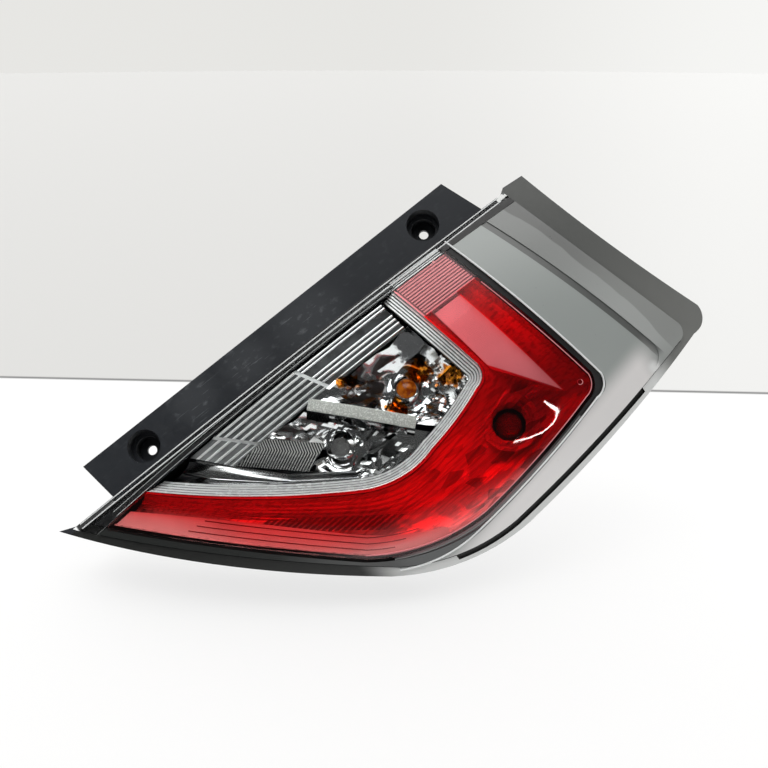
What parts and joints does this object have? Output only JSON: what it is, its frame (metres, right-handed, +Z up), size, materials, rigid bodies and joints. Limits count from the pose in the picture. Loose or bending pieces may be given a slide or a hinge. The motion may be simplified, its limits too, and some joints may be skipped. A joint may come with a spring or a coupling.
{
  "type": "tail light cluster",
  "caption": "Wedge-shaped rear lamp cluster with a clear window, a wrap-round red lens, a smoked top panel and a bolted edge flange.",
  "frame": {"origin": "midway between the two bolt holes, on the bolt seats' rear plane", "axes": "+Z up on the vehicle, -Y out to the rear of the vehicle, +X outboard"},
  "size_m": [0.4478, 0.1906, 0.2662],
  "materials": {
    "clear_lens": "clear moulded acrylic, polished",
    "red_lens": "clear red moulded acrylic, polished",
    "grey_garnish": "smoked gloss panel",
    "inner_mask": "satin black",
    "silver_bezel": "vacuum-plated, bright",
    "fluted_trim": "vacuum-plated, bright",
    "ribbed_end": "vacuum-plated, bright",
    "upper_diffuser": "satin",
    "lower_diffuser": "satin",
    "stop_tail_reflector": "vacuum-plated, bright",
    "turn_reflector": "vacuum-plated, bright",
    "reverse_reflector": "vacuum-plated, bright",
    "reflector_shelf": "satin grey with a fine grain",
    "rear_housing": "satin black, lightly scuffed",
    "body_gasket": "closed-cell foam",
    "turn_bulb_holder": "moulded nylon",
    "reverse_bulb_holder": "moulded nylon",
    "stop_bulb_holder": "moulded nylon",
    "turn_bulb": "amber glass",
    "reverse_bulb": "clear glass",
    "stop_tail_bulb": "clear glass",
    "holder_seals": "silicone rubber",
    "contact_blades": "tinned",
    "locating_pin_upper": "natural nylon",
    "locating_pin_lower": "natural nylon",
    "breather_cap": "moulded rubber"
  },
  "bodies": {
    "root": {"clear_lens": "clear_lens", "red_lens": "red_lens", "grey_garnish": "grey_garnish", "inner_mask": "inner_mask", "silver_bezel": "silver_bezel", "fluted_trim": "fluted_trim", "ribbed_end": "ribbed_end", "upper_diffuser": "upper_diffuser", "lower_diffuser": "lower_diffuser", "stop_tail_reflector": "stop_tail_reflector", "turn_reflector": "turn_reflector", "reverse_reflector": "reverse_reflector", "reflector_shelf": "reflector_shelf", "rear_housing": "rear_housing", "body_gasket": "body_gasket", "turn_bulb_holder": "turn_bulb_holder", "reverse_bulb_holder": "reverse_bulb_holder", "stop_bulb_holder": "stop_bulb_holder", "turn_bulb": "turn_bulb", "reverse_bulb": "reverse_bulb", "stop_tail_bulb": "stop_tail_bulb", "holder_seals": "holder_seals", "contact_blades": "contact_blades", "locating_pin_upper": "locating_pin_upper", "locating_pin_lower": "locating_pin_lower", "breather_cap": "breather_cap"}
  },
  "joints": []
}
